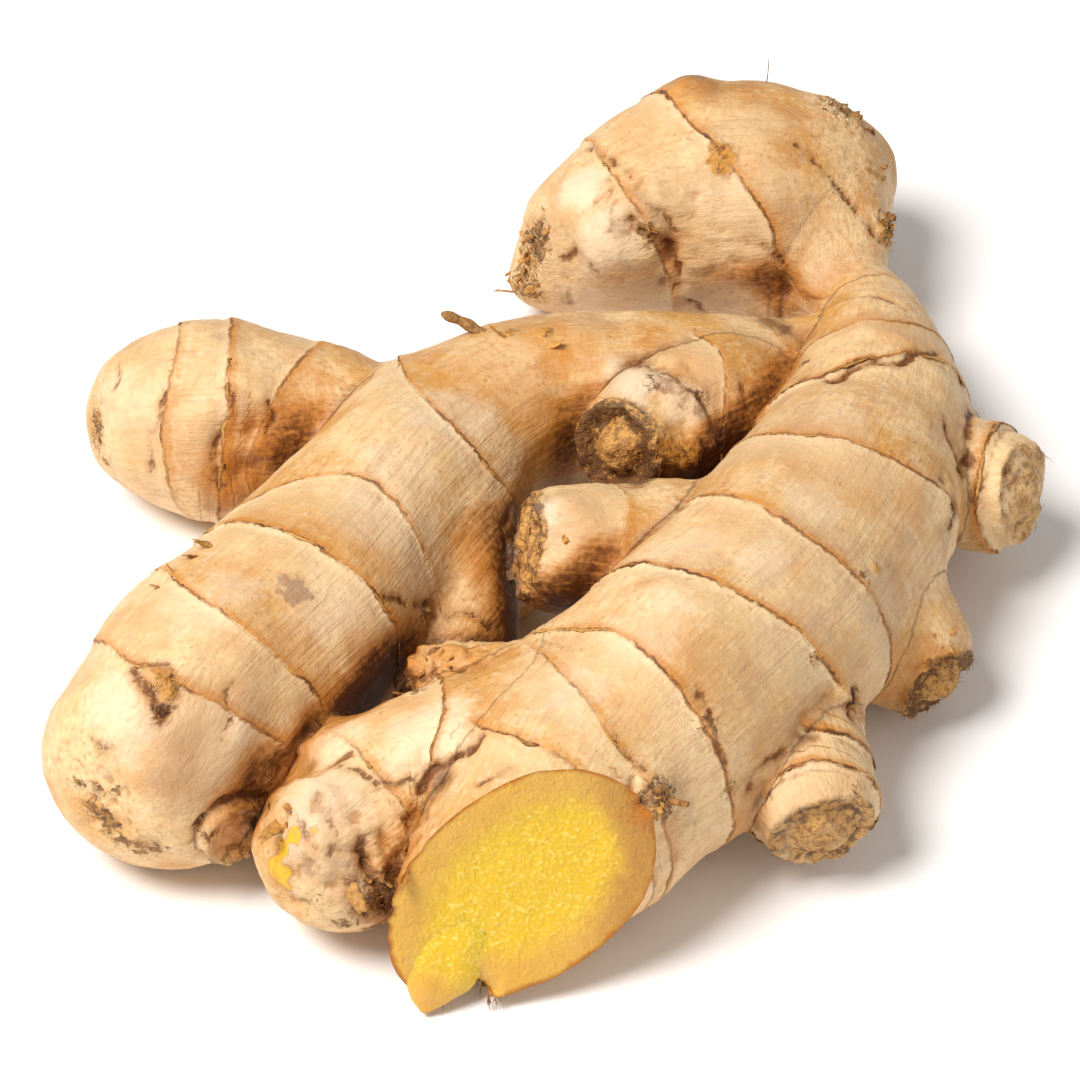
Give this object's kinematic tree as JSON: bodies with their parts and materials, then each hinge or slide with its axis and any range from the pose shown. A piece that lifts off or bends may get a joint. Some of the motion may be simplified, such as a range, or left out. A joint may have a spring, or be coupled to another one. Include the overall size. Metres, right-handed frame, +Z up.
{
  "type": "ginger root",
  "caption": "Fresh ginger rhizome with thick ringed fingers, short broken stubs and a knife-cut end that shows yellow flesh.",
  "frame": {"origin": "under the middle of the root's bounding box, on the surface that it rests on", "axes": "+Z up; +Y along the root's longest extent, away from the knife-cut end; +X to the right of someone who faces the cut end"},
  "size_m": [0.133, 0.1635, 0.0369],
  "materials": {
    "ginger_skin": null
  },
  "bodies": {
    "root": {"rhizome": "ginger_skin"}
  },
  "joints": []
}
